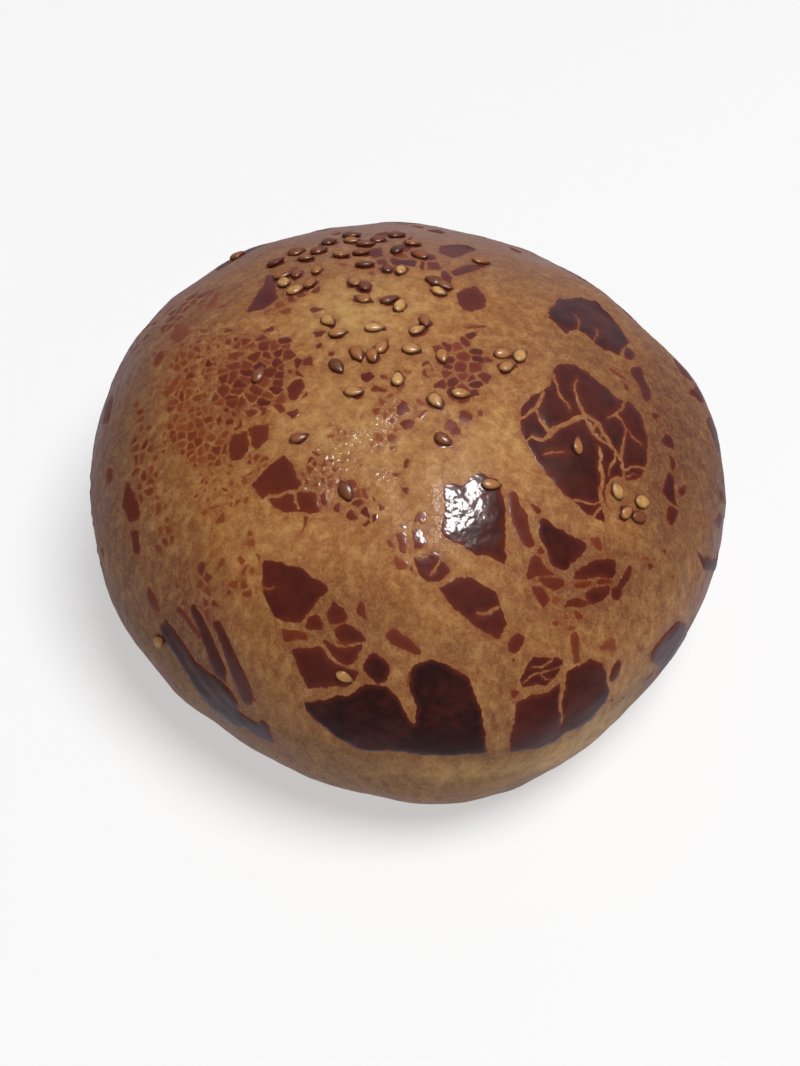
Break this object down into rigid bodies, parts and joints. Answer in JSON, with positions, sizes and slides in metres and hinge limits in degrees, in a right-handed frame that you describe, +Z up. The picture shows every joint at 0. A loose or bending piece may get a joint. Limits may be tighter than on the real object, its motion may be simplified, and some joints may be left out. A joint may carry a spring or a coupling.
{
  "type": "pogaca",
  "caption": "Round, domed bread roll with a glossy cracked egg wash and a scatter of sesame seeds, resting on a flat foot.",
  "frame": {"origin": "under the middle of the roll, on the surface that it rests on", "axes": "+Z up, -Y towards the front of the roll, +X to its right"},
  "size_m": [0.0962, 0.0978, 0.058],
  "materials": {
    "crust": "golden brown baked crust, finely mottled, with a soft sheen",
    "egg_wash": "dark chestnut baked egg wash, glossy and cracked into flakes",
    "sesame": "toasted sesame seeds, semi-gloss"
  },
  "bodies": {
    "root": {"roll": "crust"}
  },
  "joints": []
}
